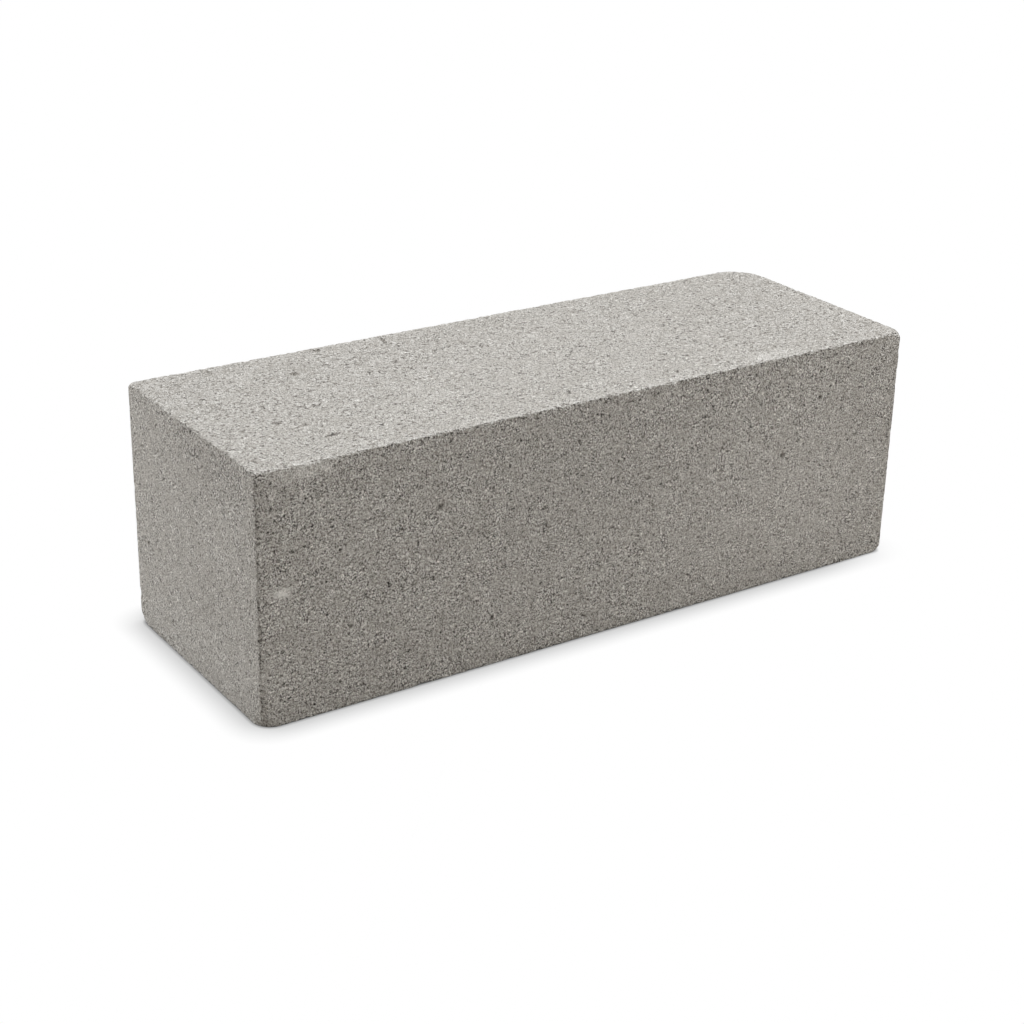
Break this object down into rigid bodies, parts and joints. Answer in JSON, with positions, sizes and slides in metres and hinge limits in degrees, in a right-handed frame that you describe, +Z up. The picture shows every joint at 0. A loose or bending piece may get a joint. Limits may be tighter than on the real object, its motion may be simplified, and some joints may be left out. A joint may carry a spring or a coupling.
{
  "type": "concrete block",
  "caption": "Solid rectangular block of sandy grey concrete with rounded arrises and worn corners, laid in mortar courses or used as a spacer.",
  "frame": {"origin": "middle of the bottom bed face, which the block lies on", "axes": "+X along the block's length, +Y through its thickness away from the front face, +Z up through its height"},
  "size_m": [0.3, 0.105, 0.1],
  "materials": {
    "concrete": "matte"
  },
  "bodies": {
    "root": {"block": "concrete"}
  },
  "joints": []
}
